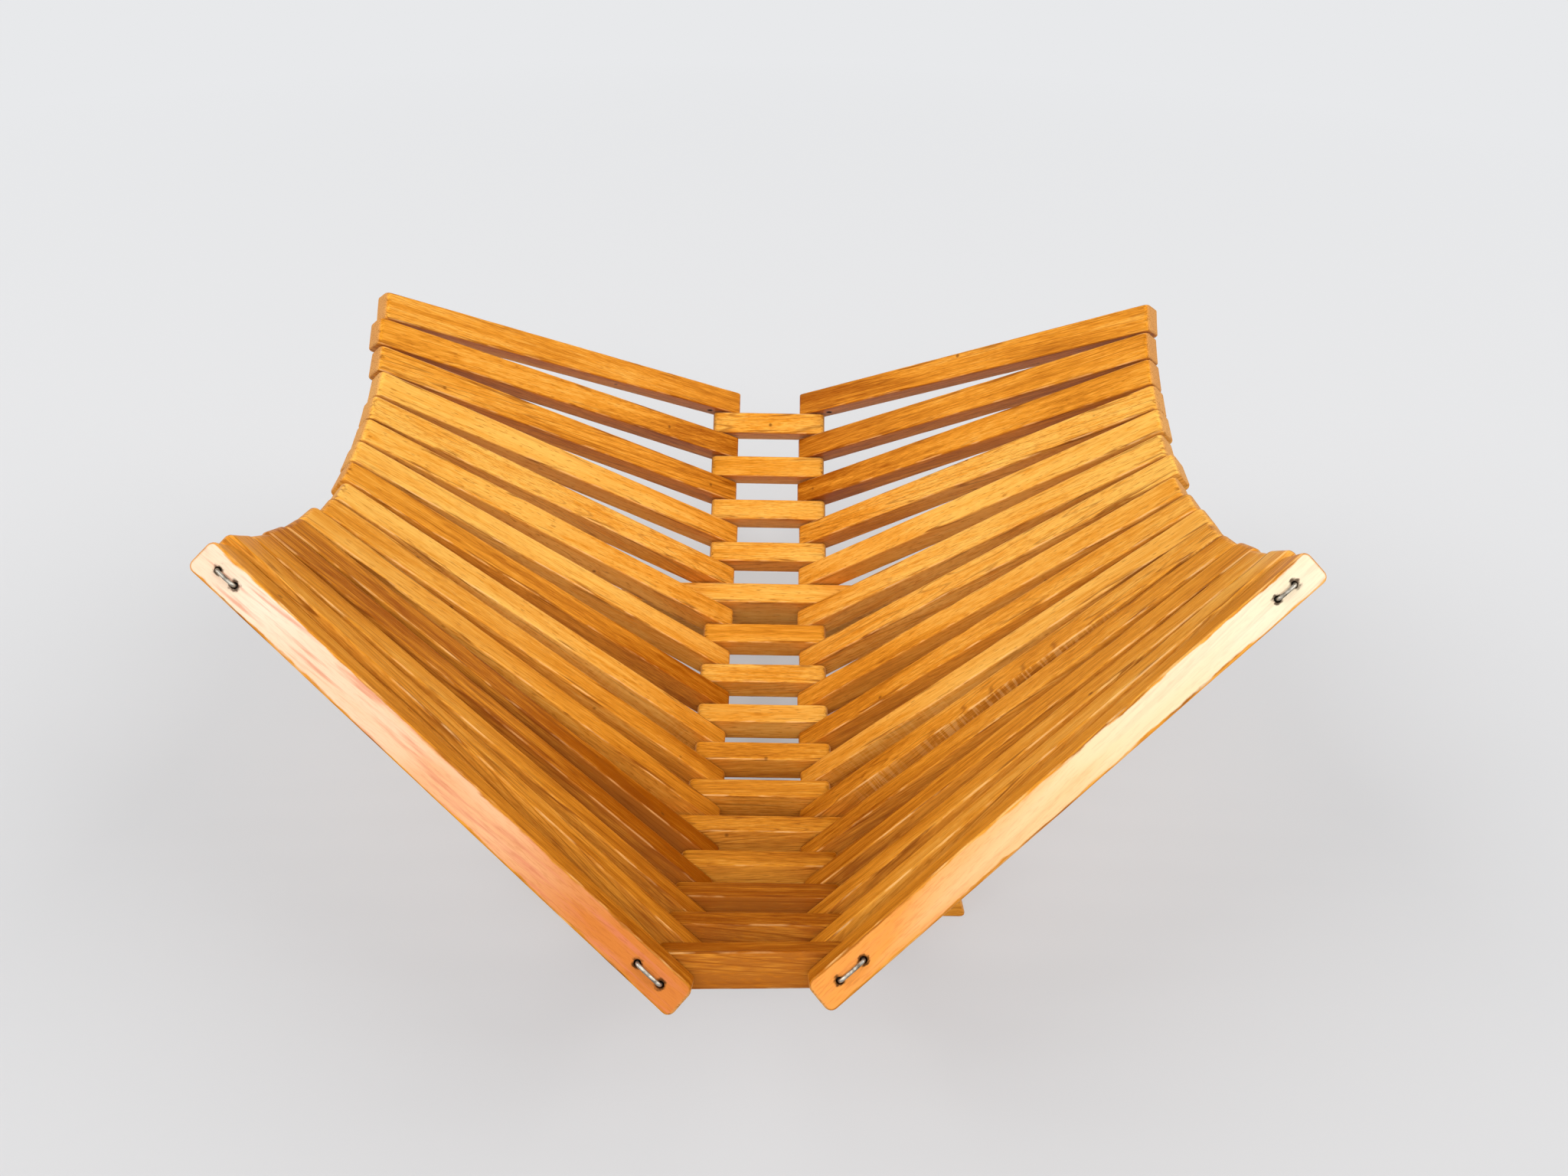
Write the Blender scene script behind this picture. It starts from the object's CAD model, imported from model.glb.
"""Looks of a collapsible beech basket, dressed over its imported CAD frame.

Every slat and foot board is modelled again with rounded, slightly worn edges and a lacquered beech
finish whose grain runs along the piece. The steel wires become short lengths that ride on the
slats they run through, so that they stay strung at every pose.
"""

import math
import random

import bmesh
import bpy
from mathutils import Matrix, Quaternion, Vector


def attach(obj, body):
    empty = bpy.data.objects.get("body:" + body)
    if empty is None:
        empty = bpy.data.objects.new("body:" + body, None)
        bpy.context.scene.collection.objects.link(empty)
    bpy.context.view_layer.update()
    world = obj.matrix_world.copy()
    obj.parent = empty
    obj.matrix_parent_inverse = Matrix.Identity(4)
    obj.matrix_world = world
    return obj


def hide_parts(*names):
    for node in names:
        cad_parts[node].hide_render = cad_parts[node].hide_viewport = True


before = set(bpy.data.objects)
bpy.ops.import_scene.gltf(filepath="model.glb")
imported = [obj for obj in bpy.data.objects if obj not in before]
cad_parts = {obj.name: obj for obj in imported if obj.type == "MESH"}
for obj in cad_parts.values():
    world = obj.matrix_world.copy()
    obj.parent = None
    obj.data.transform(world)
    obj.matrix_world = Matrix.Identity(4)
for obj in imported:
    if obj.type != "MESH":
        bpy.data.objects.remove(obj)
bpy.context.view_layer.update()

# Sizes of the CAD frame, in metres
MM = 0.001
WING_SLATS = 16
SLAT_THICKNESS = 9.6 * MM
SLAT_WIDTH = 9.5 * MM
WING_LENGTH = 163.6 * MM
CORNER_RADIUS = 2.2 * MM
EDGE_RADIUS = 0.7 * MM
SLAT_GAP = 1.0 * MM
RIM_GAP = 0.85 * MM
INNER_WIRE_SPACING = 42.0 * MM
WING_SLOPE = math.radians(41.3)
TIP_TO_HOLE = 7.0 * MM
END_TO_HOLE = 4.0 * MM
INNER_LOOP_LENGTH = 7.6 * MM
RIM_LOOP_LENGTH = 5.8 * MM
LOOP_ANCHOR_DEPTH = 6.5 * MM
FOOT_SLAT = 5
FOOT_TOP_WIDTH = 119.0 * MM
FOOT_FLARE = math.radians(18.0)
MIDDLE_WIRE_HEIGHT = 15.9 * MM

# Worked out from the sizes above, as the CAD source does
PITCH = SLAT_THICKNESS + SLAT_GAP
LAST_PLACE = 2 * (WING_SLATS - 1)
MIDDLE_PLACE = LAST_PLACE // 2
HOLE_SPAN = WING_LENGTH - 2 * TIP_TO_HOLE
CENTRE_LENGTH = INNER_WIRE_SPACING + 2 * END_TO_HOLE
RIM_LIFT = (HOLE_SPAN + TIP_TO_HOLE) * math.sin(WING_SLOPE)
RIM_HEIGHT = RIM_LIFT + SLAT_WIDTH / 2 * math.cos(WING_SLOPE)
PLACE_ANGLE = (2 * PITCH - SLAT_THICKNESS - RIM_GAP) / RIM_HEIGHT / 2
ARC_RADIUS = PITCH / PLACE_ANGLE
FOOT_PLACE = 2 * FOOT_SLAT - 1

# Finer shaping than the CAD frame has. A wing slat is drawn as thick as lets it nearly touch its
# neighbour at the rim, and the wire and the holes round it as slim as they look.
WING_THICKNESS = 10.1 * MM
WIRE_RADIUS = 0.52 * MM
LOOP_RISE = 0.8 * MM
LOOP_BEND_RADIUS = 0.9 * MM
HOLE_RADIUS = 0.88 * MM
CORNER_SEGMENTS = 6
EDGE_SEGMENTS = 3
STATION_SPACING = 4.5 * MM
SUPPORT_INSET = 1.3 * MM
DRILL_SIDES = 28
WIRE_SIDES = 18
WEAR_DEPTH = 0.16 * MM
WEAR_SPACING = 7.0 * MM
SHARP_ANGLE = math.radians(60.0)
SMOOTH_ANGLE = math.radians(38.0)
WIRE_SMOOTH_ANGLE = math.radians(50.0)
LOOSE_LIFT = 0.28 * MM
LOOSE_REACH = 0.60 * MM
LOOSE_TWIST = math.radians(0.5)
UNEVEN_RIM = 0.5 * MM

# Wing slats that reach further out or less far at the rim than the CAD frame's, and how much:
# those near the front stand out most
FRONT_STEP = 2.3 * MM
LONG_STEP = 1.3 * MM
SHORT_STEP = -1.2 * MM
LONG_SLATS = (
    *("left_slat_02", "left_slat_11", "right_slat_07"),
    *("right_slat_09", "right_slat_10", "right_slat_11", "right_slat_16"),
)
SHORT_SLATS = ("left_slat_09",)
# Slats that hang lower on their slack wires, and slats that are tilted so that one end hangs lower
SAGS = {"left_slat_16": 2.0 * MM, "centre_slat_15": 0.7 * MM}
TILTS = {
    "left_slat_01": math.radians(0.8),
    "left_slat_02": math.radians(0.5),
    "left_slat_03": math.radians(0.25),
    "right_slat_16": math.radians(0.3),
    "centre_slat_15": math.radians(-1.2),
}

# Slats whose lacquer is plainly paler, deeper or almost brown next to that of the others
PALE_SLATS = (
    *("left_slat_04", "left_slat_05", "left_slat_06", "left_slat_07", "left_slat_09"),
    *("right_slat_04", "right_slat_05", "right_slat_06", "right_slat_07", "right_slat_10"),
    *("centre_slat_01", "centre_slat_02", "centre_slat_03", "centre_slat_04"),
    *("centre_slat_07", "centre_slat_08", "foot_board_back"),
)
DEEP_SLATS = (
    *("left_slat_02", "left_slat_03", "left_slat_08", "left_slat_14", "left_slat_15"),
    *("left_slat_16", "right_slat_01", "right_slat_02", "right_slat_03", "right_slat_12"),
    *("right_slat_13", "right_slat_14", "right_slat_16", "foot_board_front", "centre_slat_12"),
)
BROWN_SLATS = (
    *("left_slat_12", "left_slat_13", "centre_slat_13", "centre_slat_14", "centre_slat_15"),
)
# How deep the lacquer of a plain slat is, and how much those of the three groups differ
PLAIN_TONES = (0.30, 0.50)
PALER = -0.30
DEEPER = 0.20
BROWNER = 0.65
# How far the grain runs off a slat's length, across it and up it, for each metre
GRAIN_SLANT_ACROSS = 0.05
GRAIN_SLANT_UP = 0.08
# How strongly the sawn rays stand out as a ladder on the front side of a slat
LADDERS = {"right_slat_11": 1.0, "right_slat_10": 0.35, "left_slat_09": 0.20}
# How pink the bare outward face of each front slat is
LEFT_PINK = 1.0
RIGHT_PINK = 0.0

# How far a length of wire reaches from the middle of its slat: half a pitch at the inner wires,
# and at the rims half of the way to the next slat when the basket is closed
INNER_REACH = PITCH / 2 + 0.15 * MM
RIM_REACH = 7.0 * MM

# Camera, set out from the middle of the row
LENS = 25.16
SENSOR = 36.0
CAMERA_PLACE = Vector((0.0037, -0.2976, 0.3147))
CAMERA_TURN = Vector((0.9042, -0.0154, 0.0117))

# Floor, set back so that it fills the view, in metres
FLOOR_SIZE = 9.0
FLOOR_SHIFT = 1.5
PAPER_MOTTLE = 90 * MM
# Share of the floor's seen colour that is flat near the basket, which keeps its shadows faint
FLAT_SHARE = 0.32

# Studio light: places and sizes in metres, and the room's own light on the basket
LAMP_TARGET = Vector((0.0, 0.0, 0.06))
SIDE_LAMP_PLACE = (1.3, -0.25, 1.25)
SIDE_LAMP_SIZE = 1.2
SIDE_LAMP_WATTS = 20.0
FRONT_LAMP_PLACE = (0.0, -1.2, 1.15)
FRONT_LAMP_SIZE = 0.9
FRONT_LAMP_WATTS = 10.0
ROOM_LIGHT = 0.35


def row_frame(place):
    """Frame of a place on the row: X across, Y along the row to the back, Z into the bowl."""
    angle = (MIDDLE_PLACE - place) * PLACE_ANGLE
    height = MIDDLE_WIRE_HEIGHT + ARC_RADIUS * (1 - math.cos(angle))
    centre = Vector((0, ARC_RADIUS * math.sin(angle), height))
    return Matrix.Translation(centre) @ Matrix.Rotation(angle, 4, "X")


def wing_frame(place, side):
    """Frame of a wing slat at its inner hole: X runs out along the slat, Z into the bowl."""
    hole = Matrix.Translation((side * INNER_WIRE_SPACING / 2, 0, 0))
    turn = Matrix.Rotation(0 if side > 0 else math.pi, 4, "Z")
    slope = Matrix.Rotation(-WING_SLOPE, 4, "Y")
    return row_frame(place) @ hole @ turn @ slope


def foot_frame(place):
    """Frame of a foot board, with Y pointing away from the middle of the basket."""
    turn = Matrix.Rotation(0 if place < MIDDLE_PLACE else math.pi, 4, "Z")
    return row_frame(place) @ turn


def put_down():
    """Deselect everything, the CAD nodes too."""
    bpy.ops.object.select_all(action="DESELECT")


def take(obj):
    """Make obj the only selected object and the active one."""
    put_down()
    obj.select_set(True)
    bpy.context.view_layer.objects.active = obj


def mark_edges(obj, wanted):
    """In edit mode, select just the edges whose two ends pass the test."""
    bm = bmesh.from_edit_mesh(obj.data)
    bpy.ops.mesh.select_all(action="DESELECT")
    for edge in bm.edges:
        edge.select_set(wanted(edge.verts[0].co, edge.verts[1].co))
    bmesh.update_edit_mesh(obj.data)


def mark_points(obj, wanted):
    """In edit mode, select just the vertices that pass the test."""
    bm = bmesh.from_edit_mesh(obj.data)
    bpy.ops.mesh.select_all(action="DESELECT")
    for vert in bm.verts:
        vert.select_set(wanted(vert.co))
    bm.select_flush(True)
    bmesh.update_edit_mesh(obj.data)


def saw_through(place, normal):
    """Cut the mesh in edit mode along a plane, without parting it."""
    bpy.ops.mesh.select_all(action="SELECT")
    bpy.ops.mesh.bisect(plane_co=place, plane_no=normal)


def apply_all(obj):
    """Apply every modifier of an object in turn."""
    take(obj)
    for modifier in list(obj.modifiers):
        bpy.ops.object.modifier_apply(modifier=modifier.name)


def planed_bar(name, low, high, thick, depth, flare=0.0):
    """Bar along X from low to high with rounded ends and softened edges.

    It reaches from z = SLAT_WIDTH / 2 down to z = -depth, and a flare widens its lower edge.
    """
    put_down()
    tall = SLAT_WIDTH / 2 + depth
    bpy.ops.mesh.primitive_cube_add(
        size=1.0,
        location=((low + high) / 2, 0, SLAT_WIDTH / 2 - tall / 2),
        scale=(high - low, thick, tall),
    )
    bar = bpy.context.object
    bar.name = name
    bpy.ops.object.transform_apply(location=True, rotation=False, scale=True)
    bpy.ops.object.mode_set(mode="EDIT")
    bpy.ops.mesh.select_mode(type="VERT")
    if flare:
        wider = 1 + 2 * tall * math.tan(flare) / (high - low)
        mark_points(bar, lambda co: co.z < 0)
        bpy.ops.transform.resize(value=(wider, 1, 1), center_override=(0, 0, 0))
    bpy.ops.mesh.select_mode(type="EDGE")
    mark_edges(bar, lambda a, b: abs(a.y - b.y) > thick / 2)
    bpy.ops.mesh.bevel(
        offset=CORNER_RADIUS, segments=CORNER_SEGMENTS, profile=0.5, affect="EDGES"
    )
    bpy.ops.mesh.select_all(action="DESELECT")
    bpy.ops.mesh.edges_select_sharp(sharpness=SHARP_ANGLE)
    bpy.ops.mesh.bevel(offset=EDGE_RADIUS, segments=EDGE_SEGMENTS, profile=0.5, affect="EDGES")
    stations = round((high - low - 2 * CORNER_RADIUS) / STATION_SPACING)
    for station in range(1, stations):
        share = station / stations
        x = low + CORNER_RADIUS + share * (high - low - 2 * CORNER_RADIUS)
        saw_through((x, 0, 0), (1, 0, 0))
    inset_y = thick / 2 - SUPPORT_INSET
    inset_z = SLAT_WIDTH / 2 - SUPPORT_INSET
    for y in (-inset_y, 0.0, inset_y):
        saw_through((0, y, 0), (0, 1, 0))
    for z in (inset_z, 0.0, -inset_z):
        saw_through((0, 0, z), (0, 0, 1))
    bpy.ops.object.mode_set(mode="OBJECT")
    return bar


def drill(bar, places):
    """Drill a hole through the bar along Y at each x in places."""
    for x in places:
        put_down()
        bpy.ops.mesh.primitive_cylinder_add(
            vertices=DRILL_SIDES,
            radius=HOLE_RADIUS,
            depth=2 * SLAT_THICKNESS,
            location=(x, 0, 0),
            rotation=(math.pi / 2, 0, 0),
        )
        bit = bpy.context.object
        cut = bar.modifiers.new("hole", "BOOLEAN")
        cut.operation = "DIFFERENCE"
        cut.solver = "EXACT"
        cut.object = bit
        apply_all(bar)
        bpy.data.objects.remove(bit, do_unlink=True)


def plane_sole(bar, matrix):
    """Cut a foot board off flat at the ground, where the matrix stands it in the basket."""
    to_bar = matrix.inverted()
    ground = to_bar.translation
    down = to_bar.to_3x3() @ Vector((0, 0, -1))
    take(bar)
    bpy.ops.object.mode_set(mode="EDIT")
    bpy.ops.mesh.select_all(action="SELECT")
    bpy.ops.mesh.bisect(
        plane_co=ground, plane_no=down, use_fill=True, clear_outer=True, threshold=1e-6
    )
    bpy.ops.object.mode_set(mode="OBJECT")


def wing_pattern(name, extra_holes):
    """Wing slat in its own frame, with X running out from its inner hole."""
    end = HOLE_SPAN + TIP_TO_HOLE
    bar = planed_bar(name, -TIP_TO_HOLE, end, WING_THICKNESS, SLAT_WIDTH / 2)
    drill(bar, [0.0, HOLE_SPAN, *extra_holes])
    return bar


def centre_pattern():
    """Centre slat in its own frame."""
    half = CENTRE_LENGTH / 2
    bar = planed_bar("centre_pattern", -half, half, SLAT_THICKNESS, SLAT_WIDTH / 2)
    drill(bar, [-INNER_WIRE_SPACING / 2, INNER_WIRE_SPACING / 2])
    return bar


def foot_pattern():
    """Foot board in its own frame, planed flat where it meets the ground."""
    stand = foot_frame(FOOT_PLACE)
    tilt = (MIDDLE_PLACE - FOOT_PLACE) * PLACE_ANGLE
    drop = stand.translation.z + SLAT_THICKNESS / 2 * math.sin(tilt)
    half = FOOT_TOP_WIDTH / 2
    depth = drop / math.cos(tilt)
    bar = planed_bar("foot_pattern", -half, half, SLAT_THICKNESS, depth, FOOT_FLARE)
    drill(bar, [-INNER_WIRE_SPACING / 2, INNER_WIRE_SPACING / 2])
    plane_sole(bar, stand)
    return bar


def stub_pattern(name, reach):
    """Length of straight wire along Y from the middle of a slat, with eased ends."""
    put_down()
    overlap = WIRE_RADIUS / 4
    bpy.ops.mesh.primitive_cylinder_add(
        vertices=WIRE_SIDES,
        radius=WIRE_RADIUS,
        depth=reach + overlap,
        location=(0, (reach - overlap) / 2, 0),
        rotation=(math.pi / 2, 0, 0),
    )
    stub = bpy.context.object
    stub.name = name
    bpy.ops.object.transform_apply(location=True, rotation=True, scale=True)
    bpy.ops.object.mode_set(mode="EDIT")
    bpy.ops.mesh.select_mode(type="EDGE")
    bpy.ops.mesh.select_all(action="DESELECT")
    bpy.ops.mesh.edges_select_sharp(sharpness=SHARP_ANGLE)
    bpy.ops.mesh.bevel(offset=WIRE_RADIUS / 3, segments=2, affect="EDGES")
    bpy.ops.object.mode_set(mode="OBJECT")
    return stub


def loop_pattern(name, length):
    """End of a wire that lies over the face of an end slat and turns into its anchor hole.

    It leaves the hole at x = 0 towards +Y and goes back in at x = length.
    """
    put_down()
    start = WING_THICKNESS / 2 + LOOP_RISE - LOOP_BEND_RADIUS
    crown = WING_THICKNESS / 2 + LOOP_RISE
    bend = LOOP_BEND_RADIUS
    ease = LOOP_BEND_RADIUS * 0.55
    bpy.ops.curve.primitive_bezier_curve_add(location=(0, 0, 0))
    loop = bpy.context.object
    loop.name = name
    spline = loop.data.splines[0]
    route = (
        ((0, -WIRE_RADIUS / 4), (0, 1), ease),
        ((0, start), (0, 1), ease),
        ((bend, crown), (1, 0.12), ease),
        ((length / 2, crown + 0.15 * MM), (1, 0), length / 8),
        ((length - bend, crown), (1, -0.12), ease),
        ((length, start), (0, -1), ease),
        ((length, start - LOOP_ANCHOR_DEPTH), (0, -1), ease),
    )
    spline.bezier_points.add(len(route) - 2)
    for point, (spot, heading, hold) in zip(spline.bezier_points, route):
        point.co = (*spot, 0)
        ahead = Vector((*heading, 0)) * hold
        point.handle_left_type = "FREE"
        point.handle_right_type = "FREE"
        point.handle_left = point.co - ahead
        point.handle_right = point.co + ahead
    loop.data.dimensions = "3D"
    loop.data.resolution_u = 8
    loop.data.bevel_depth = WIRE_RADIUS
    loop.data.bevel_resolution = 4
    loop.data.use_fill_caps = True
    bpy.ops.object.convert(target="MESH")
    return bpy.context.object


def copy_of(pattern, name, matrix):
    """Copy of a pattern with its own mesh, set in its place in the basket."""
    made = bpy.data.objects.new(name, pattern.data.copy())
    bpy.context.scene.collection.objects.link(made)
    made.data.transform(matrix)
    return made


def note(mesh, name, values):
    """Store one vector for each vertex of a mesh."""
    attribute = mesh.attributes.new(name, "FLOAT_VECTOR", "POINT")
    attribute.data.foreach_set("vector", [part for value in values for part in value])


def worn_texture():
    """Soft lumps, a few millimetres across, that wear follows."""
    texture = bpy.data.textures.new("wear", "CLOUDS")
    texture.noise_scale = WEAR_SPACING
    texture.noise_depth = 2
    return texture


def slackness(node):
    """How a slat hangs away from its place in the CAD frame."""
    drop = Matrix.Translation((0, 0, -SAGS.get(node, 0.0)))
    return drop @ Matrix.Rotation(TILTS.get(node, 0.0), 4, "Y")


def rim_step(node):
    """How much longer than the pattern a wing slat is at the rim."""
    if node in SHORT_SLATS:
        return SHORT_STEP
    if node in LONG_SLATS:
        return LONG_STEP
    return FRONT_STEP if node[-2:] in ("12", "13", "14", "15") else 0.0


def beech_piece(pattern, node, matrix, dice, material, lumps, face=None):
    """One slat or board: a copy of its pattern, slightly loose and worn in its own way.

    face is for a slat at the front: the side along Y of its outward face, and how pink it is.
    """
    lift = dice.uniform(-LOOSE_LIFT, LOOSE_LIFT)
    reach = dice.uniform(-LOOSE_REACH, LOOSE_REACH)
    twist = dice.uniform(-LOOSE_TWIST, LOOSE_TWIST)
    slant_y = dice.uniform(-GRAIN_SLANT_ACROSS, GRAIN_SLANT_ACROSS)
    slant_z = dice.uniform(-GRAIN_SLANT_UP, GRAIN_SLANT_UP)
    seed = Vector((dice.uniform(-9, 9), dice.uniform(-9, 9), dice.uniform(-9, 9)))
    tone = dice.uniform(*PLAIN_TONES)
    if node in PALE_SLATS:
        tone += PALER
    if node in DEEP_SLATS:
        tone += DEEPER
    if node in BROWN_SLATS:
        tone += BROWNER
    figure = dice.random()
    loose = Matrix.Translation((reach, 0, lift)) @ Matrix.Rotation(twist, 4, "X")
    if "foot" in node or face:
        loose = Matrix()
    piece = copy_of(pattern, f"{node}_beech", Matrix())
    own = [vert.co.copy() for vert in piece.data.vertices]
    longer = rim_step(node) + dice.uniform(-UNEVEN_RIM, UNEVEN_RIM)
    for vert in piece.data.vertices:
        if vert.co.x > HOLE_SPAN + TIP_TO_HOLE / 2:
            vert.co.x += longer
    note(piece.data, "slat", own)
    sheared = [Vector((p.x, p.y + slant_y * p.x, p.z + slant_z * p.x)) + seed for p in own]
    note(piece.data, "grain", sheared)
    note(piece.data, "mark", [(tone, figure, LADDERS.get(node, 0.0))] * len(own))
    side, pink = face or (0, 0.0)
    outward = [float(p.y * side > WING_THICKNESS / 2 - 0.05 * MM) for p in own]
    note(piece.data, "bare", [(share, pink, 0.0) for share in outward])
    piece.data.transform(matrix @ loose)
    piece.data.materials.append(material)
    wear = piece.modifiers.new("wear", "DISPLACE")
    wear.texture = lumps
    wear.texture_coords = "LOCAL"
    wear.strength = WEAR_DEPTH
    wear.mid_level = 1.0
    apply_all(piece)
    bpy.ops.object.shade_smooth_by_angle(angle=SMOOTH_ANGLE)
    weigh = piece.modifiers.new("even_faces", "WEIGHTED_NORMAL")
    weigh.keep_sharp = True
    weigh.weight = 80
    apply_all(piece)
    return piece


def wire_lengths(name, matrix, parts, material):
    """The lengths of wire that one slat carries, joined as one piece.

    parts holds a pattern, its x along the slat and how it is turned about that place.
    """
    made = []
    for pattern, x, turn in parts:
        made.append(copy_of(pattern, name, matrix @ Matrix.Translation((x, 0, 0)) @ turn))
    take(made[0])
    for extra in made[1:]:
        extra.select_set(True)
    if len(made) > 1:
        bpy.ops.object.join()
    joined = bpy.context.view_layer.objects.active
    joined.name = name
    joined.data.materials.clear()
    joined.data.materials.append(material)
    take(joined)
    bpy.ops.object.shade_smooth_by_angle(angle=WIRE_SMOOTH_ANGLE)
    return joined


def linear(hex_colour):
    """Linear RGBA of an sRGB colour written as six hex digits."""
    rgba = []
    for start in (0, 2, 4):
        channel = int(hex_colour[start : start + 2], 16) / 255
        rgba.append(channel / 12.92 if channel <= 0.04045 else ((channel + 0.055) / 1.055) ** 2.4)
    return (*rgba, 1.0)


def add(tree, kind, inputs=None, out=0, **settings):
    """Add a node, set or link its inputs and return one of its outputs, or all if out is None."""
    made = tree.nodes.new("ShaderNode" + kind)
    for setting, value in settings.items():
        setattr(made, setting, value)
    for socket, value in (inputs or {}).items():
        if isinstance(value, bpy.types.NodeSocket):
            tree.links.new(value, made.inputs[socket])
        else:
            made.inputs[socket].default_value = value
    return made.outputs if out is None else made.outputs[out]


def new_tree(name):
    """New material and its empty node tree."""
    material = bpy.data.materials.new(name)
    material.use_nodes = True
    material.node_tree.nodes.clear()
    return material, material.node_tree


def grain_marks(tree, grain, length, width, detail=2.0, warp=0.0):
    """Soft marks of a real length and width along the grain, as values round 0.5."""
    drawn_out = (1 / length, 1 / width, 1 / width)
    place = add(tree, "Mapping", {"Vector": grain, "Scale": drawn_out})
    return add(
        tree, "TexNoise", {"Vector": place, "Scale": 1.0, "Detail": detail, "Distortion": warp}
    )


def slat_distances(tree, slat, thick, half_length, centre_x, foot):
    """Distances in metres from a slat's ends, its sides, its top and bottom, and its edges."""
    x, y, z = add(tree, "SeparateXYZ", {0: slat}, out=None)
    off_centre = add(tree, "Math", {0: x, 1: centre_x}, operation="SUBTRACT")
    off_centre = add(tree, "Math", {0: off_centre}, operation="ABSOLUTE")
    low = add(tree, "Math", {0: SLAT_WIDTH / 2, 1: z}, operation="SUBTRACT")
    flare = math.tan(FOOT_FLARE) if foot else 0.0
    reach = add(tree, "Math", {0: low, 1: flare, 2: half_length}, operation="MULTIPLY_ADD")
    from_end = add(tree, "Math", {0: reach, 1: off_centre}, operation="SUBTRACT")
    off_middle = add(tree, "Math", {0: y}, operation="ABSOLUTE")
    from_side = add(tree, "Math", {0: thick / 2, 1: off_middle}, operation="SUBTRACT")
    off_level = z if foot else add(tree, "Math", {0: z}, operation="ABSOLUTE")
    from_top = add(tree, "Math", {0: SLAT_WIDTH / 2, 1: off_level}, operation="SUBTRACT")
    nearer = add(tree, "Math", {0: from_side, 1: from_top}, operation="MINIMUM")
    further = add(tree, "Math", {0: from_side, 1: from_top}, operation="MAXIMUM")
    second = add(tree, "Math", {0: further, 1: from_end}, operation="MINIMUM")
    from_edge = add(tree, "Math", {0: nearer, 1: second}, operation="MAXIMUM")
    return from_end, from_side, from_top, from_edge


def amber_depth(tree, grain, tone, x, inner_end):
    """How deep the amber lacquer looks, from 0 to 1.

    Each slat has its own tone, and the eye gets broad patches, growth bands 2 mm apart and fine
    fibres. The lacquer lies thicker by inner_end at the inner end of the slat.
    """
    patches = grain_marks(tree, grain, 55 * MM, 9 * MM, 1.0)
    bands = grain_marks(tree, grain, 80 * MM, 1.8 * MM, 2.0, 0.5)
    fibres = grain_marks(tree, grain, 8 * MM, 0.32 * MM, 3.0)
    ends = add(
        tree,
        "MapRange",
        {"Value": x, "From Min": 80 * MM, "From Max": -8 * MM, "To Max": inner_end},
    )
    depth = add(tree, "Math", {0: tone, 1: 0.75, 2: ends}, operation="MULTIPLY_ADD")
    depth = add(tree, "Math", {0: patches, 1: 0.70, 2: depth}, operation="MULTIPLY_ADD")
    depth = add(tree, "Math", {0: bands, 1: 0.80, 2: depth}, operation="MULTIPLY_ADD")
    depth = add(tree, "Math", {0: fibres, 1: 1.05, 2: depth}, operation="MULTIPLY_ADD")
    depth = add(tree, "MapRange", {"Value": depth, "From Min": 1.20, "From Max": 2.22})
    return depth, fibres


def growth_lines(tree, grain, figure, tone):
    """Thin dark lines of late wood, about 3 mm apart, that wander along some slats.

    They are plainest on the brown slats.
    """
    rings = grain_marks(tree, grain, 220 * MM, 6.0 * MM, 0.0)
    rings = add(tree, "Math", {0: rings, 1: 0.055}, operation="PINGPONG")
    lines = add(tree, "MapRange", {"Value": rings, "From Min": 0.012, "From Max": 0.002})
    shown = add(
        tree,
        "MapRange",
        {"Value": figure, "From Min": 0.55, "From Max": 0.85, "To Min": 0.08, "To Max": 0.50},
    )
    browner = add(
        tree, "MapRange", {"Value": tone, "From Min": 0.75, "From Max": 1.0, "To Max": 0.5}
    )
    shown = add(tree, "Math", {0: shown, 1: browner}, operation="MAXIMUM")
    return add(tree, "Math", {0: lines, 1: shown}, operation="MULTIPLY")


def ray_flecks(tree, grain, figure):
    """Dark ends of the rays: dashes 2 to 3 mm long, drawn 0.35 mm wide so that they show.

    Slats of one figure have fine, close dashes and the others fewer and stronger ones.
    """
    fine = grain_marks(tree, grain, 3.4 * MM, 0.34 * MM, 1.0)
    fine = add(tree, "MapRange", {"Value": fine, "From Min": 0.51, "From Max": 0.66})
    close = add(
        tree,
        "MapRange",
        {"Value": figure, "From Min": 0.20, "From Max": 0.60, "To Min": 0.30, "To Max": 1.0},
    )
    fine = add(tree, "Math", {0: fine, 1: close}, operation="MULTIPLY")
    strong = grain_marks(tree, grain, 3.4 * MM, 0.50 * MM, 0.0)
    strong = add(tree, "MapRange", {"Value": strong, "From Min": 0.67, "From Max": 0.77})
    few = add(
        tree,
        "MapRange",
        {"Value": figure, "From Min": 0.50, "From Max": 0.25, "To Min": 0.15, "To Max": 1.0},
    )
    strong = add(tree, "Math", {0: strong, 1: few}, operation="MULTIPLY")
    return fine, strong


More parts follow.
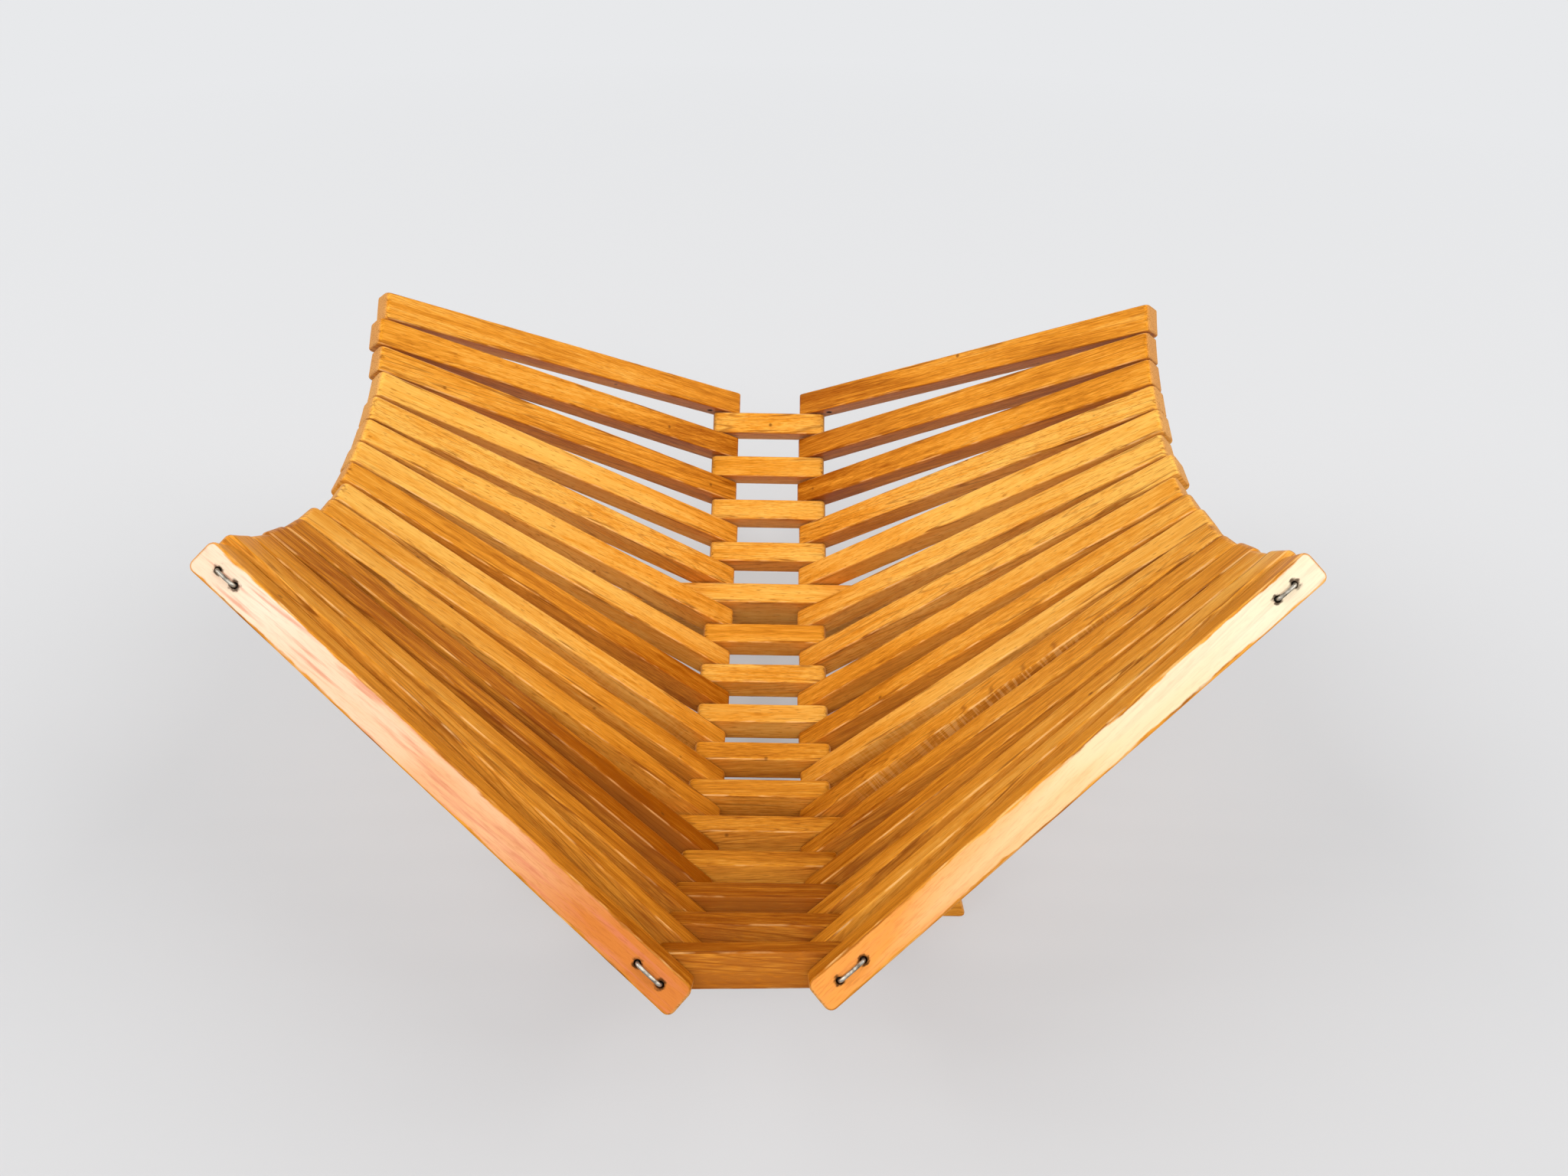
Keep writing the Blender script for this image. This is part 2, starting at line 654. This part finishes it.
def ray_ladder(tree, grain, from_side, amount):
    """Light and dark ray bars, 1 mm wide, that cross the side of a slat sawn along its rays."""
    across = add(
        tree, "Mapping", {"Vector": grain, "Scale": (1 / (1.0 * MM), 1 / (6 * MM), 1 / (9 * MM))}
    )
    bars = add(tree, "TexNoise", {"Vector": across, "Scale": 1.0, "Detail": 1.0})
    ground = add(
        tree, "MapRange", {"Value": from_side, "From Min": 0.35 * MM, "From Max": 0.15 * MM}
    )
    runs = grain_marks(tree, grain, 25 * MM, 40 * MM, 0.0)
    runs = add(tree, "MapRange", {"Value": runs, "From Min": 0.34, "From Max": 0.52})
    shown = add(tree, "Math", {0: ground, 1: runs}, operation="MULTIPLY")
    shown = add(tree, "Math", {0: shown, 1: amount}, operation="MULTIPLY")
    light = add(tree, "MapRange", {"Value": bars, "From Min": 0.50, "From Max": 0.58})
    dark = add(tree, "MapRange", {"Value": bars, "From Min": 0.48, "From Max": 0.40})
    light = add(tree, "Math", {0: light, 1: shown}, operation="MULTIPLY")
    dark = add(tree, "Math", {0: dark, 1: shown}, operation="MULTIPLY")
    return light, dark


def hole_stain(tree, slat, grain, colour, holes):
    """Iron stain that creeps about 1 mm out from the wire holes of an end slat."""
    x, _, z = add(tree, "SeparateXYZ", {0: slat}, out=None)
    creep = grain_marks(tree, grain, 1.6 * MM, 0.9 * MM)
    creep = add(tree, "MapRange", {"Value": creep, "To Min": -1.1 * MM, "To Max": 1.1 * MM})
    for hole in holes:
        off_hole = add(tree, "Math", {0: x, 1: hole}, operation="SUBTRACT")
        offset = add(tree, "CombineXYZ", {0: off_hole, 1: z})
        away = add(tree, "VectorMath", {0: offset}, out="Value", operation="LENGTH")
        away = add(tree, "Math", {0: away, 1: creep}, operation="ADD")
        stain = add(
            tree,
            "MapRange",
            {"Value": away, "From Min": 1.7 * MM, "From Max": 0.9 * MM, "To Max": 0.90},
            interpolation_type="SMOOTHSTEP",
        )
        colour = add(
            tree, "Mix", {0: stain, 6: colour, 7: linear("2A140A")}, out=2, data_type="RGBA"
        )
    return colour


def amber_ground(tree, depth, from_side):
    """Amber from pale honey to brown with its depth, and a little duller on the two sides.

    It comes with how deep the lacquer lies beyond the middle tone.
    """
    upper = add(tree, "MapRange", {"Value": depth, "From Min": 0.0, "From Max": 0.5})
    lower = add(tree, "MapRange", {"Value": depth, "From Min": 0.5, "From Max": 1.0})
    colour = add(
        tree, "Mix", {0: upper, 6: linear("FAC05C"), 7: linear("E4962A")}, out=2, data_type="RGBA"
    )
    colour = add(tree, "Mix", {0: lower, 6: colour, 7: linear("9C5000")}, out=2, data_type="RGBA")
    on_side = add(
        tree,
        "MapRange",
        {"Value": from_side, "From Min": 0.4 * MM, "From Max": 0.1 * MM, "To Max": 0.18},
    )
    colour = add(
        tree, "Mix", {0: on_side, 6: colour, 7: linear("C08A4A")}, out=2, data_type="RGBA"
    )
    return colour, lower


def grain_figure(tree, colour, grain, mark, from_side):
    """Ray flecks and growth lines, and the ladder of ray bars on the slats that have one.

    It comes with the fine flecks, which the bare faces and the relief use too.
    """
    tone, figure, laddered = add(tree, "SeparateXYZ", {0: mark}, out=None)
    fine, strong = ray_flecks(tree, grain, figure)
    fine = add(tree, "Math", {0: fine, 1: 0.50}, operation="MULTIPLY")
    colour = add(tree, "Mix", {0: fine, 6: colour, 7: linear("BE6E16")}, out=2, data_type="RGBA")
    strong = add(tree, "Math", {0: strong, 1: 0.50}, operation="MULTIPLY")
    colour = add(tree, "Mix", {0: strong, 6: colour, 7: linear("A4580C")}, out=2, data_type="RGBA")
    lines = growth_lines(tree, grain, figure, tone)
    colour = add(tree, "Mix", {0: lines, 6: colour, 7: linear("7E3A06")}, out=2, data_type="RGBA")
    light, dark = ray_ladder(tree, grain, from_side, laddered)
    light = add(tree, "Math", {0: light, 1: 0.35}, operation="MULTIPLY")
    dark = add(tree, "Math", {0: dark, 1: 0.30}, operation="MULTIPLY")
    colour = add(tree, "Mix", {0: light, 6: colour, 7: linear("F6C77C")}, out=2, data_type="RGBA")
    colour = add(tree, "Mix", {0: dark, 6: colour, 7: linear("A86014")}, out=2, data_type="RGBA")
    return colour, fine


def pooled_lacquer(tree, colour, grain, from_edge):
    """Lacquer that ran and pooled in dark streaks beside some edges."""
    runs = grain_marks(tree, grain, 30 * MM, 1.6 * MM, 3.0, 0.6)
    runs = add(tree, "MapRange", {"Value": runs, "From Min": 0.55, "From Max": 0.65})
    beside = add(
        tree,
        "MapRange",
        {"Value": from_edge, "From Min": 2.4 * MM, "From Max": 0.8 * MM, "To Max": 0.75},
    )
    pooled = add(tree, "Math", {0: runs, 1: beside}, operation="MULTIPLY")
    return add(tree, "Mix", {0: pooled, 6: colour, 7: linear("7E3C0C")}, out=2, data_type="RGBA")


def rubbed_edges(tree, colour, grain, from_edge, lower):
    """Edges rubbed through to pale wood, in patches, and less so where the lacquer is deep.

    The colour comes with the share that is rubbed.
    """
    patches = grain_marks(tree, grain, 11 * MM, 3 * MM, 3.0)
    patches = add(tree, "MapRange", {"Value": patches, "From Min": 0.50, "From Max": 0.62})
    along_edge = add(
        tree,
        "MapRange",
        {"Value": from_edge, "From Min": 0.60 * MM, "From Max": 0.36 * MM, "To Max": 0.60},
    )
    rubbed = add(tree, "Math", {0: patches, 1: along_edge}, operation="MULTIPLY")
    kept = add(tree, "Math", {0: lower, 1: -0.5, 2: 1.0}, operation="MULTIPLY_ADD")
    rubbed = add(tree, "Math", {0: rubbed, 1: kept}, operation="MULTIPLY")
    colour = add(tree, "Mix", {0: rubbed, 6: colour, 7: linear("FCCB88")}, out=2, data_type="RGBA")
    return colour, rubbed


def bare_wood(tree, grain, x, pink, fine):
    """Wood without lacquer: still orange at the inner end, then paler towards the rim.

    It has reddish streaks where it is pink, and small spots at the inner end.
    """
    blotch = grain_marks(tree, grain, 40 * MM, 5 * MM, 1.0)
    along = add(tree, "MapRange", {"Value": x, "From Min": 5 * MM, "From Max": HOLE_SPAN * 0.9})
    along = add(tree, "Math", {0: blotch, 1: 0.5, 2: along}, operation="MULTIPLY_ADD")
    inner = add(tree, "MapRange", {"Value": along, "From Min": 0.30, "From Max": 0.85})
    outer = add(tree, "MapRange", {"Value": along, "From Min": 0.75, "From Max": 1.30})
    orange = add(
        tree, "Mix", {0: pink, 6: linear("EC9848"), 7: linear("CC7836")}, out=2, data_type="RGBA"
    )
    middle = add(
        tree, "Mix", {0: pink, 6: linear("F0CE9C"), 7: linear("EAB488")}, out=2, data_type="RGBA"
    )
    rim = add(
        tree, "Mix", {0: pink, 6: linear("F0E0C2"), 7: linear("EED8C0")}, out=2, data_type="RGBA"
    )
    bare = add(tree, "Mix", {0: inner, 6: orange, 7: middle}, out=2, data_type="RGBA")
    bare = add(tree, "Mix", {0: outer, 6: bare, 7: rim}, out=2, data_type="RGBA")
    streaks = grain_marks(tree, grain, 45 * MM, 1.2 * MM, 3.0)
    streaks = add(tree, "MapRange", {"Value": streaks, "From Min": 0.50, "From Max": 0.66})
    red = add(tree, "MapRange", {"Value": pink, "To Min": 0.12, "To Max": 0.60})
    streaks = add(tree, "Math", {0: streaks, 1: red}, operation="MULTIPLY")
    bare = add(tree, "Mix", {0: streaks, 6: bare, 7: linear("D0785A")}, out=2, data_type="RGBA")
    spots = add(tree, "Math", {0: inner, 1: -0.7, 2: 1.0}, operation="MULTIPLY_ADD")
    spots = add(tree, "Math", {0: spots, 1: fine}, operation="MULTIPLY")
    return add(tree, "Mix", {0: spots, 6: bare, 7: linear("B4602C")}, out=2, data_type="RGBA")


def bare_share(tree, grain, bare_side, from_top):
    """Share of the outward face that is bare: all of it but a ragged border of lacquer."""
    ragged = grain_marks(tree, grain, 9 * MM, 2 * MM, 3.0)
    ragged = add(tree, "Math", {0: ragged, 1: -2.4 * MM, 2: from_top}, operation="MULTIPLY_ADD")
    worn = add(tree, "MapRange", {"Value": ragged, "From Min": -0.7 * MM, "From Max": -0.3 * MM})
    return add(tree, "Math", {0: bare_side, 1: worn}, operation="MULTIPLY")


def end_grain(tree, colour, grain, from_end):
    """End grain: matt, browner and speckled with pores. It comes with its own share."""
    end = add(
        tree,
        "MapRange",
        {"Value": from_end, "From Min": 0.9 * MM, "From Max": 0.3 * MM, "To Max": 0.8},
    )
    pores = grain_marks(tree, grain, 3 * MM, 0.35 * MM, 1.0)
    pores = add(tree, "MapRange", {"Value": pores, "From Min": 0.50, "From Max": 0.68})
    end_colour = add(
        tree, "Mix", {0: pores, 6: linear("CC9458"), 7: linear("9A6230")}, out=2, data_type="RGBA"
    )
    colour = add(tree, "Mix", {0: end, 6: colour, 7: end_colour}, out=2, data_type="RGBA")
    return colour, end


def pin_knots(tree, colour, grain, outward):
    """Pin knots 1 mm across and a few centimetres apart, but none on a bare face."""
    knots = add(tree, "TexVoronoi", {"Vector": grain, "Scale": 1 / (17 * MM)})
    knots = add(
        tree,
        "MapRange",
        {"Value": knots, "From Min": 0.060, "From Max": 0.025, "To Max": 0.75},
    )
    knots = add(tree, "Math", {0: knots, 1: outward}, operation="SUBTRACT", use_clamp=True)
    return add(tree, "Mix", {0: knots, 6: colour, 7: linear("6A340C")}, out=2, data_type="RGBA")


def satin_lacquer(tree, colour, fibres, fine, rubbed, outward, end):
    """Satin lacquer over the grain, duller where it is rubbed and on the bare face.

    Its sheen is faint and amber, since a white one would grey the deep orange.
    """
    dull = add(tree, "Math", {0: rubbed, 1: 0.25, 2: 0.32}, operation="MULTIPLY_ADD")
    dull = add(tree, "Math", {0: outward, 1: 0.20, 2: dull}, operation="MULTIPLY_ADD")
    dull = add(tree, "Math", {0: end, 1: 0.30, 2: dull}, operation="MULTIPLY_ADD")
    rough = add(tree, "Math", {0: fibres, 1: 0.18, 2: dull}, operation="MULTIPLY_ADD")
    height = add(tree, "Math", {0: fine, 1: -0.9, 2: fibres}, operation="MULTIPLY_ADD")
    height = add(tree, "Math", {0: rubbed, 1: -0.8, 2: height}, operation="MULTIPLY_ADD")
    normal = add(tree, "Bump", {"Height": height, "Strength": 0.5, "Distance": 0.12 * MM})
    return add(
        tree,
        "BsdfPrincipled",
        {
            "Base Color": colour,
            "Roughness": rough,
            "Normal": normal,
            "IOR": 1.5,
            "Specular IOR Level": 0.2,
            "Specular Tint": linear("FFC070"),
        },
    )


def beech(name, thick, half_length, centre_x, holes=(), foot=False):
    """Beech slats, planed and dipped in amber lacquer, then rubbed pale along some edges.

    The eye gets an orange honey ground with soft growth bands, short dark ray flecks along the
    grain, browner sides, matt end grain, and bare pinkish or cream wood on the front slats' faces.
    """
    material, tree = new_tree(name)
    slat = add(tree, "Attribute", out="Vector", attribute_name="slat")
    grain = add(tree, "Attribute", out="Vector", attribute_name="grain")
    mark = add(tree, "Attribute", out="Vector", attribute_name="mark")
    bare_face = add(tree, "Attribute", out="Vector", attribute_name="bare")
    tone, _, _ = add(tree, "SeparateXYZ", {0: mark}, out=None)
    bare_side, pink, _ = add(tree, "SeparateXYZ", {0: bare_face}, out=None)
    x, _, _ = add(tree, "SeparateXYZ", {0: slat}, out=None)
    from_end, from_side, from_top, from_edge = slat_distances(
        tree, slat, thick, half_length, centre_x, foot
    )
    depth, fibres = amber_depth(tree, grain, tone, x, 0.32 if centre_x else 0.14)
    colour, lower = amber_ground(tree, depth, from_side)
    colour, fine = grain_figure(tree, colour, grain, mark, from_side)
    colour = pooled_lacquer(tree, colour, grain, from_edge)
    colour, rubbed = rubbed_edges(tree, colour, grain, from_edge, lower)
    bare = bare_wood(tree, grain, x, pink, fine)
    outward = bare_share(tree, grain, bare_side, from_top)
    colour = add(tree, "Mix", {0: outward, 6: colour, 7: bare}, out=2, data_type="RGBA")
    colour, end = end_grain(tree, colour, grain, from_end)
    colour = pin_knots(tree, colour, grain, outward)
    colour = hole_stain(tree, slat, grain, colour, holes)
    shader = satin_lacquer(tree, colour, fibres, fine, rubbed, outward, end)
    add(tree, "OutputMaterial", {"Surface": shader}, out=None)
    return material


def steel():
    """Drawn steel wire: dull silver, with darker scuffs where it rubs in the holes."""
    material, tree = new_tree("drawn_steel_wire")
    place = add(tree, "TexCoord", out="Object")
    scuffs = add(tree, "TexNoise", {"Vector": place, "Scale": 1 / (1.6 * MM), "Detail": 3.0})
    tarnish = add(tree, "MapRange", {"Value": scuffs, "From Min": 0.45, "From Max": 0.70})
    colour = add(
        tree, "Mix", {0: tarnish, 6: linear("A9A499"), 7: linear("584E42")}, out=2, data_type="RGBA"
    )
    rough = add(tree, "MapRange", {"Value": scuffs, "To Min": 0.30, "To Max": 0.60})
    normal = add(tree, "Bump", {"Height": scuffs, "Strength": 0.4, "Distance": 0.05 * MM})
    shader = add(
        tree,
        "BsdfPrincipled",
        {"Base Color": colour, "Metallic": 1.0, "Roughness": rough, "Normal": normal},
    )
    add(tree, "OutputMaterial", {"Surface": shader}, out=None)
    return material


def seen_rays(tree):
    """1 for the rays that show a surface: to the camera, in a mirror or through glass."""
    rays = add(tree, "LightPath", out=None)
    straight = rays["Is Camera Ray"]
    mirrored = rays["Is Glossy Ray"]
    through = rays["Is Transmission Ray"]
    seen = add(tree, "Math", {0: straight, 1: mirrored}, operation="MAXIMUM")
    return add(tree, "Math", {0: seen, 1: through}, operation="MAXIMUM")


def paper():
    """Pale grey studio paper, matt and softly mottled, that runs paler away from the basket.

    Part of what is seen of it is flat, which keeps its shadows as faint as in a bright room.
    """
    material, tree = new_tree("studio_paper")
    place = add(tree, "TexCoord", out="Object")
    away = add(
        tree, "VectorMath", {0: place, 1: (0, -0.16, 0)}, out="Value", operation="DISTANCE"
    )
    mottle = add(tree, "TexNoise", {"Vector": place, "Scale": 1 / PAPER_MOTTLE, "Detail": 2.0})
    far = add(tree, "MapRange", {"Value": away, "From Min": 0.05, "From Max": 1.30})
    far = add(tree, "Math", {0: mottle, 1: 0.04, 2: far}, operation="MULTIPLY_ADD")
    colour = add(
        tree, "Mix", {0: far, 6: linear("CDCED0"), 7: linear("E8E9EB")}, out=2, data_type="RGBA"
    )
    matt = add(tree, "BsdfDiffuse", {"Color": colour, "Roughness": 0.9})
    shown = add(
        tree, "Mix", {0: far, 6: linear("DDDEE0"), 7: linear("E8E9EB")}, out=2, data_type="RGBA"
    )
    flat = add(tree, "Emission", {"Color": shown, "Strength": 1.0})
    flat_share = add(tree, "Math", {0: far, 1: 0.68, 2: FLAT_SHARE}, operation="MULTIPLY_ADD")
    share = add(tree, "Math", {0: seen_rays(tree), 1: flat_share}, operation="MULTIPLY")
    surface = add(tree, "MixShader", {0: share, 1: matt, 2: flat})
    add(tree, "OutputMaterial", {"Surface": surface}, out=None)
    return material


def dress_wings(patterns, woods, wire, dice, lumps):
    """Replace the wing slats, and give each its lengths of inner and outer wire."""
    ahead = Matrix()
    behind = Matrix.Rotation(math.pi, 4, "X")
    mirrored = Matrix.Rotation(math.pi, 4, "Z")
    for side_name, side, pink in (("left", -1, LEFT_PINK), ("right", 1, RIGHT_PINK)):
        for place in range(0, LAST_PLACE + 1, 2):
            node = f"{side_name}_slat_{place // 2 + 1:02d}"
            matrix = wing_frame(place, side)
            out = {0: side, LAST_PLACE: -side}.get(place, 0)
            kind = "end" if out else "wing"
            face = (out, pink) if place == LAST_PLACE else None
            matrix = matrix @ slackness(node)
            slat = beech_piece(patterns[kind], node, matrix, dice, woods[kind], lumps, face)
            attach(slat, node)
            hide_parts(node)
            parts = []
            for turn, heading in ((ahead, 1), (behind, -1)):
                if heading != out:
                    parts.append((patterns["inner_stub"], 0.0, turn))
                    parts.append((patterns["rim_stub"], HOLE_SPAN, turn))
            if out > 0:
                parts.append((patterns["inner_loop"], 0.0, ahead))
                parts.append((patterns["rim_loop"], HOLE_SPAN, behind @ mirrored))
            if out < 0:
                parts.append((patterns["inner_loop"], 0.0, behind))
                parts.append((patterns["rim_loop"], HOLE_SPAN, mirrored))
            lengths = wire_lengths(f"{node}_wire", matrix, parts, wire)
            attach(lengths, node)
            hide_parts(f"inner_wire_{side_name}", f"outer_wire_{side_name}")


def dress_centre(patterns, woods, wire, dice, lumps):
    """Replace the centre slats and foot boards, and give each its lengths of inner wire."""
    for place in range(1, LAST_PLACE, 2):
        kind = "centre"
        node = f"centre_slat_{(place + 1) // 2:02d}"
        matrix = row_frame(place)
        if place in (FOOT_PLACE, LAST_PLACE - FOOT_PLACE):
            kind = "foot"
            node = "foot_board_back" if place < MIDDLE_PLACE else "foot_board_front"
            matrix = foot_frame(place)
        matrix = matrix @ slackness(node)
        slat = beech_piece(patterns[kind], node, matrix, dice, woods[kind], lumps)
        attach(slat, node)
        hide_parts(node)
        parts = []
        for turn in (Matrix(), Matrix.Rotation(math.pi, 4, "X")):
            for x in (-INNER_WIRE_SPACING / 2, INNER_WIRE_SPACING / 2):
                parts.append((patterns["inner_stub"], x, turn))
        lengths = wire_lengths(f"{node}_wire", matrix, parts, wire)
        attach(lengths, node)
        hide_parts("inner_wire_left", "inner_wire_right")


def dress_basket():
    """Model the patterns, dress the whole basket with them, and put them away."""
    dice = random.Random(41)
    lumps = worn_texture()
    patterns = {
        "wing": wing_pattern("wing_pattern", []),
        "end": wing_pattern("end_pattern", [INNER_LOOP_LENGTH, HOLE_SPAN - RIM_LOOP_LENGTH]),
        "centre": centre_pattern(),
        "foot": foot_pattern(),
        "inner_stub": stub_pattern("inner_stub_pattern", INNER_REACH),
        "rim_stub": stub_pattern("rim_stub_pattern", RIM_REACH),
        "inner_loop": loop_pattern("inner_loop_pattern", INNER_LOOP_LENGTH),
        "rim_loop": loop_pattern("rim_loop_pattern", RIM_LOOP_LENGTH),
    }
    half = WING_LENGTH / 2
    middle = HOLE_SPAN / 2
    holes = [0.0, INNER_LOOP_LENGTH, HOLE_SPAN - RIM_LOOP_LENGTH, HOLE_SPAN]
    woods = {
        "wing": beech("lacquered_beech_wing", WING_THICKNESS, half, middle),
        "end": beech("lacquered_beech_end_slat", WING_THICKNESS, half, middle, holes),
        "centre": beech("lacquered_beech_centre", SLAT_THICKNESS, CENTRE_LENGTH / 2, 0.0),
        "foot": beech("lacquered_beech_foot", SLAT_THICKNESS, FOOT_TOP_WIDTH / 2, 0.0, foot=True),
    }
    wire = steel()
    dress_wings(patterns, woods, wire, dice, lumps)
    dress_centre(patterns, woods, wire, dice, lumps)
    for pattern in patterns.values():
        bpy.data.objects.remove(pattern, do_unlink=True)


def stand_floor():
    """Pale floor that runs far enough back to fill the camera's view."""
    put_down()
    bpy.ops.mesh.primitive_plane_add(size=FLOOR_SIZE, location=(0, FLOOR_SHIFT, 0))
    floor = bpy.context.object
    floor.name = "studio_floor"
    bpy.ops.object.transform_apply(location=True, rotation=False, scale=False)
    floor.data.materials.append(paper())


def soft_lamp(name, place, size, watts, tint):
    """Square area lamp at a place, facing the basket and unseen by the camera."""
    data = bpy.data.lights.new(name, "AREA")
    data.shape = "SQUARE"
    data.size = size
    data.energy = watts
    data.color = linear(tint)[:3]
    lamp = bpy.data.objects.new(name, data)
    bpy.context.scene.collection.objects.link(lamp)
    lamp.location = place
    lamp.rotation_euler = (LAMP_TARGET - Vector(place)).to_track_quat("-Z", "Y").to_euler()
    lamp.visible_camera = False


def light_studio():
    """Two soft lamps high at either side, a weaker one in front, and a pale room."""
    for name, side in (("left_lamp", -1), ("right_lamp", 1)):
        x, y, z = SIDE_LAMP_PLACE
        soft_lamp(name, (side * x, y, z), SIDE_LAMP_SIZE, SIDE_LAMP_WATTS, "FFFCF8")
    soft_lamp("front_lamp", FRONT_LAMP_PLACE, FRONT_LAMP_SIZE, FRONT_LAMP_WATTS, "FFFFFF")
    world = bpy.data.worlds.new("pale_room")
    bpy.context.scene.world = world
    world.use_nodes = True
    tree = world.node_tree
    tree.nodes.clear()
    seen = seen_rays(tree)
    strength = add(tree, "MapRange", {"Value": seen, "To Min": ROOM_LIGHT, "To Max": 1.0})
    sky = add(tree, "Background", {"Color": linear("E6E7E9"), "Strength": strength})
    add(tree, "OutputWorld", {"Surface": sky}, out=None)


def set_camera():
    """Camera above the front of the basket, looking down into the bowl."""
    data = bpy.data.cameras.new("camera")
    data.lens = LENS
    data.sensor_width = SENSOR
    data.clip_start = 0.01
    camera = bpy.data.objects.new("camera", data)
    bpy.context.scene.collection.objects.link(camera)
    camera.location = CAMERA_PLACE
    camera.rotation_euler = Quaternion(CAMERA_TURN, CAMERA_TURN.length).to_euler()
    bpy.context.scene.camera = camera


set_camera()
dress_basket()
stand_floor()
light_studio()
bpy.context.scene.view_settings.view_transform = "Standard"
